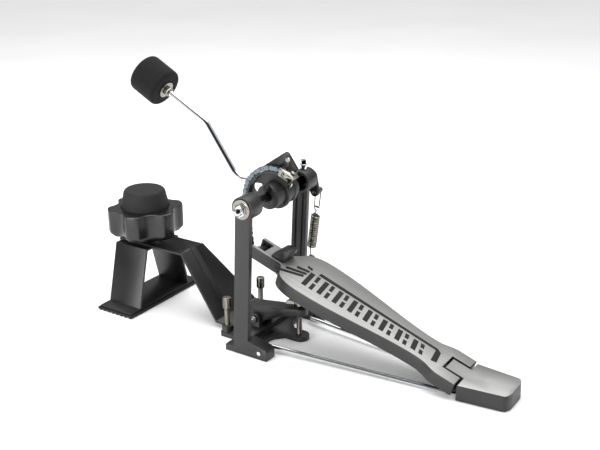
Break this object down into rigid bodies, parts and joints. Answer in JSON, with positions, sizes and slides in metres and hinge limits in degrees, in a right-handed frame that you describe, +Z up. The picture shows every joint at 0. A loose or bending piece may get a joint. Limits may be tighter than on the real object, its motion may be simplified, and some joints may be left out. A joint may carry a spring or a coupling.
{
  "type": "bass drum pedal",
  "caption": "Foot pedal that swings a felt beater by chain and cam, with a hoop clamp and a rubber-topped striking pad on a bent arm.",
  "frame": {"origin": "on the floor, under the middle of the axle", "axes": "+X to the player's right, +Y away from the player toward the drum, +Z up"},
  "size_m": [0.1755, 0.58, 0.3323],
  "materials": {
    "cast_grey": "satin powder coat over die-cast metal",
    "satin_black": "satin black powder coat",
    "gloss_black": "semi-gloss moulded plastic",
    "brushed_silver": "brushed along the board, black in the sunk pattern",
    "chrome": "polished chrome plate",
    "nickel": "bright nickel plate",
    "zinc_steel": "blue zinc plate",
    "rubber": "matte moulded rubber",
    "felt": "dense pressed felt"
  },
  "bodies": {
    "base": {"left_post": "cast_grey", "right_post": "cast_grey", "left_bearing": "zinc_steel", "right_bearing": "zinc_steel", "base_casting": "cast_grey", "base_screw_left": "zinc_steel", "base_screw_right": "zinc_steel", "radius_rod_left": "chrome", "radius_rod_right": "chrome", "heel_plate": "brushed_silver", "heel_rubber": "rubber", "heel_hinge_pin": "zinc_steel", "key_screw": "chrome", "riser_mat": "rubber", "riser_bracket": "satin_black", "strap_arm": "satin_black", "stud_washer": "nickel", "stud_nut": "nickel", "jaw_pivot_bolt": "nickel", "jaw_pivot_nut": "nickel", "clamp_screw": "nickel", "eye_bolt": "nickel"},
    "jaw": {"upper_jaw": "cast_grey"},
    "wing": {"clamp_wing": "nickel"},
    "left_spur": {"spur_left": "nickel"},
    "right_spur": {"spur_right": "nickel"},
    "board": {"footboard": "brushed_silver", "toe_stop": "satin_black", "toe_pin": "zinc_steel", "toe_clevis": "satin_black", "clevis_pin": "zinc_steel"},
    "shaft": {"axle": "zinc_steel", "left_washer": "nickel", "domed_nut": "chrome", "cam_wheel": "cast_grey", "stop_plate": "satin_black", "stop_rivet": "nickel", "hub": "satin_black", "rod_clamp_bolt": "zinc_steel", "chain_on_cam": "zinc_steel", "chain_clip": "nickel", "clip_screw": "zinc_steel", "clip_pin": "zinc_steel", "spring_crank": "satin_black", "crank_pin": "zinc_steel"},
    "link_1": {"chain_link_1": "zinc_steel"},
    "link_2": {"chain_link_2": "zinc_steel"},
    "link_3": {"chain_link_3": "zinc_steel"},
    "link_4": {"chain_link_4": "zinc_steel"},
    "run": {"chain_run": "zinc_steel"},
    "beater": {"beater_rod": "chrome", "beater_head": "felt", "beater_washer": "nickel", "beater_nut": "nickel"},
    "spring_low": {"spring_lower": "nickel"},
    "spring_top": {"spring_upper": "nickel"},
    "tension": {"tension_nut": "nickel"},
    "knob": {"lift_knob": "gloss_black"},
    "pad": {"lift_stud": "zinc_steel", "rubber_cap": "rubber"}
  },
  "joints": [
    {"name": "board_hinge", "type": "hinge", "parent": "base", "child": "board", "pos_m": [0, -0.247, 0.0135], "axis": [-1, 0, 0], "range_deg": [0, 4], "stiffness_Nm_per_rad": 60, "springref_deg": -3.44},
    {"name": "shaft_turn", "type": "hinge", "parent": "base", "child": "shaft", "pos_m": [0, 0, 0.189], "axis": [-1, 0, 0], "range_deg": [0, 28.1]},
    {"name": "link_1_turn", "type": "hinge", "parent": "shaft", "child": "link_1", "pos_m": [-0.005, 0.03733, 0.19864], "axis": [1, 0, 0], "range_deg": [0, 6.5]},
    {"name": "link_2_turn", "type": "hinge", "parent": "shaft", "child": "link_2", "pos_m": [-0.005, 0.03895, 0.19542], "axis": [1, 0, 0], "range_deg": [0, 14.9]},
    {"name": "link_3_turn", "type": "hinge", "parent": "shaft", "child": "link_3", "pos_m": [-0.005, 0.04029, 0.19239], "axis": [1, 0, 0], "range_deg": [0, 23.3]},
    {"name": "link_4_turn", "type": "hinge", "parent": "shaft", "child": "link_4", "pos_m": [-0.005, 0.04146, 0.18933], "axis": [1, 0, 0], "range_deg": [0, 31.7]},
    {"name": "run_turn", "type": "hinge", "parent": "shaft", "child": "run", "pos_m": [-0.005, 0.04203, 0.1876], "axis": [1, 0, 0], "range_deg": [0, 35.9]},
    {"name": "spring_swing", "type": "hinge", "parent": "base", "child": "spring_low", "pos_m": [0.0845, 0.0045, 0.072], "axis": [1, 0, 0], "range_deg": [0, 4.1]},
    {"name": "spring_stretch", "type": "slide", "parent": "spring_low", "child": "spring_top", "axis": [0, -0.122, 0.9925], "range_m": [0, 0.00705]},
    {"name": "beater_reach", "type": "slide", "parent": "shaft", "child": "beater", "axis": [0, 0.9969, -0.0783], "range_m": [-0.002, 0.006]},
    {"name": "wing_turn", "type": "hinge", "parent": "base", "child": "wing", "pos_m": [0.004, -0.03, 0.048], "axis": [0, 0, 1], "range_deg": [0, 720]},
    {"name": "jaw_open", "type": "hinge", "parent": "base", "child": "jaw", "pos_m": [-0.003, 0.022, 0.023], "axis": [1, 0, 0], "range_deg": [0, 3.5]},
    {"name": "left_spur_set", "type": "slide", "parent": "base", "child": "left_spur", "axis": [0, 0, 1], "range_m": [0, 0.006]},
    {"name": "right_spur_set", "type": "slide", "parent": "base", "child": "right_spur", "axis": [0, 0, 1], "range_m": [0, 0.006]},
    {"name": "tension_turn", "type": "hinge", "parent": "base", "child": "tension", "pos_m": [0.0845, 0.0045, 0.045], "axis": [0, 0, 1], "range_deg": [-360, 360]},
    {"name": "knob_turn", "type": "hinge", "parent": "base", "child": "knob", "pos_m": [0, 0.213, 0.11], "axis": [0, 0, 1], "range_deg": [0, 1440]},
    {"name": "pad_lift", "type": "slide", "parent": "base", "child": "pad", "axis": [0, 0, 1], "range_m": [0, 0.0065]}
  ],
  "couplings": [
    {"joint": "shaft_turn", "follows": "board_hinge", "ratio": 7},
    {"joint": "link_1_turn", "follows": "board_hinge", "ratio": 1.61},
    {"joint": "link_2_turn", "follows": "board_hinge", "ratio": 3.7125},
    {"joint": "link_3_turn", "follows": "board_hinge", "ratio": 5.815},
    {"joint": "link_4_turn", "follows": "board_hinge", "ratio": 7.9175},
    {"joint": "run_turn", "follows": "board_hinge", "ratio": 8.88},
    {"joint": "spring_swing", "follows": "board_hinge", "ratio": 1.015},
    {"joint": "spring_stretch", "follows": "board_hinge", "m_per_rad": 0.1006},
    {"joint": "jaw_open", "follows": "wing_turn", "ratio": 0.004722},
    {"joint": "pad_lift", "follows": "knob_turn", "m_per_rad": 0.00025465}
  ]
}
